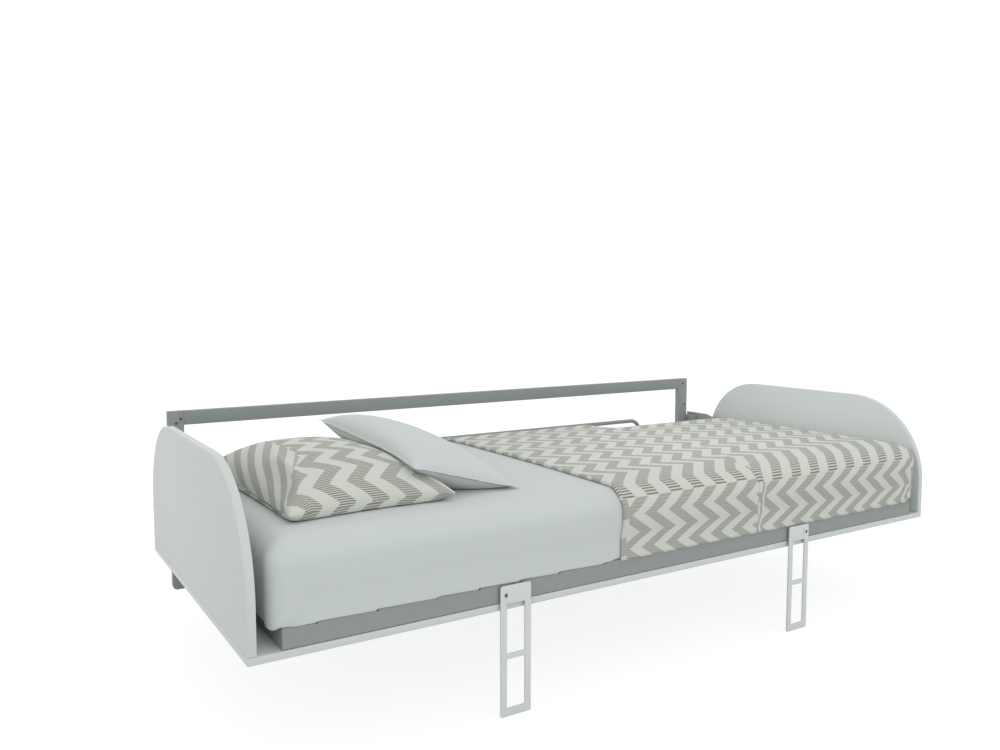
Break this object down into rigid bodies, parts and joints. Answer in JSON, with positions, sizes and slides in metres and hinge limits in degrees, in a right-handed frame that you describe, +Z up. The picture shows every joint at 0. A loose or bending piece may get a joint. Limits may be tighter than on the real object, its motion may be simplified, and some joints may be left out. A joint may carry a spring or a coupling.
{
  "type": "folding bed",
  "caption": "Wall-hung single bed that folds up sideways on a steel wall frame, with rounded end boards, slatted base, mattress, coverlet, pillows and flat fold-in legs.",
  "frame": {"origin": "centre of the top wall rail's back face, which lies on the wall", "axes": "+X along the bed from the head (pillows) to the foot, +Y into the wall, +Z up; the bed reaches out from the wall to -Y"},
  "size_m": [2.0998, 1.0023, 0.6131],
  "materials": {
    "white_board": "satin",
    "grey_steel": "satin",
    "white_steel": "satin",
    "zinc": "satin",
    "beech": "satin",
    "nylon": "matte",
    "gas_spring_black": "gloss",
    "chrome_rod": "polished",
    "fitted_sheet": "matte",
    "zigzag_cloth": "matte",
    "plain_cloth": "matte"
  },
  "bodies": {
    "wall_frame": {"wall_rail_top": "grey_steel", "wall_rail_bottom": "grey_steel", "wall_upright_left": "grey_steel", "wall_upright_right": "grey_steel", "side_bracket_left": "grey_steel", "side_bracket_right": "grey_steel", "wall_screw_left_1": "zinc", "wall_screw_left_2": "zinc", "wall_screw_right_1": "zinc", "wall_screw_right_2": "zinc", "pivot_bolt_left": "zinc", "pivot_bolt_right": "zinc", "spring_anchor_left": "zinc", "spring_anchor_right": "zinc"},
    "bed": {"bottom_panel": "white_board", "head_end_board": "white_board", "foot_end_board": "white_board", "frame_rail_front": "grey_steel", "frame_rail_rear": "grey_steel", "frame_rail_head": "grey_steel", "frame_rail_foot": "grey_steel", "frame_rail_centre": "grey_steel", "swing_arm_left": "grey_steel", "swing_arm_right": "grey_steel", "spring_stud_left": "zinc", "spring_stud_right": "zinc", "slat_01": "beech", "slat_02": "beech", "slat_03": "beech", "slat_04": "beech", "slat_05": "beech", "slat_06": "beech", "slat_07": "beech", "slat_08": "beech", "slat_09": "beech", "slat_10": "beech", "slat_11": "beech", "slat_12": "beech", "slat_13": "beech", "slat_14": "beech", "slat_15": "beech", "slat_16": "beech", "mattress_retainer": "grey_steel", "mattress": "fitted_sheet", "coverlet": "zigzag_cloth", "pillow_patterned": "zigzag_cloth", "pillow_plain": "plain_cloth", "leg_spacer_left": "nylon", "leg_spacer_right": "nylon", "leg_bolt_left": "zinc", "leg_bolt_right": "zinc"},
    "leg_left": {"leg_left": "white_steel"},
    "leg_right": {"leg_right": "white_steel"},
    "gas_cylinder_left": {"gas_cylinder_left": "gas_spring_black"},
    "gas_cylinder_right": {"gas_cylinder_right": "gas_spring_black"},
    "gas_rod_left": {"gas_rod_left": "chrome_rod"},
    "gas_rod_right": {"gas_rod_right": "chrome_rod"}
  },
  "joints": [
    {"name": "bed_fold", "type": "hinge", "parent": "wall_frame", "child": "bed", "pos_m": [0, -0.1963, -0.1733], "axis": [-1, 0, 0], "range_deg": [0, 90], "deforming": ["pillow_patterned", "pillow_plain"]},
    {"name": "leg_left_fold", "type": "hinge", "parent": "bed", "child": "leg_left", "pos_m": [-0.492, -0.9958, -0.3073], "axis": [0, -1, 0], "range_deg": [0, 90]},
    {"name": "leg_right_fold", "type": "hinge", "parent": "bed", "child": "leg_right", "pos_m": [0.492, -0.9958, -0.3073], "axis": [0, 1, 0], "range_deg": [0, 90]},
    {"name": "gas_cylinder_left_swing", "type": "hinge", "parent": "wall_frame", "child": "gas_cylinder_left", "pos_m": [-1.0221, -0.1963, -0.2633], "axis": [-1, 0, 0], "range_deg": [0, 82]},
    {"name": "gas_cylinder_right_swing", "type": "hinge", "parent": "wall_frame", "child": "gas_cylinder_right", "pos_m": [1.0221, -0.1963, -0.2633], "axis": [-1, 0, 0], "range_deg": [0, 82]},
    {"name": "gas_rod_left_slide", "type": "slide", "parent": "gas_cylinder_left", "child": "gas_rod_left", "axis": [0, -0.9956, -0.0941], "range_m": [0, 0.106]},
    {"name": "gas_rod_right_slide", "type": "slide", "parent": "gas_cylinder_right", "child": "gas_rod_right", "axis": [0, -0.9956, -0.0941], "range_m": [0, 0.106]}
  ],
  "couplings": [
    {"joint": "gas_cylinder_left_swing", "follows": "bed_fold", "ratio": 0.90146},
    {"joint": "gas_cylinder_right_swing", "follows": "bed_fold", "ratio": 0.90146},
    {"joint": "gas_rod_left_slide", "follows": "bed_fold", "m_per_rad": 0.066439},
    {"joint": "gas_rod_right_slide", "follows": "bed_fold", "m_per_rad": 0.066439}
  ]
}
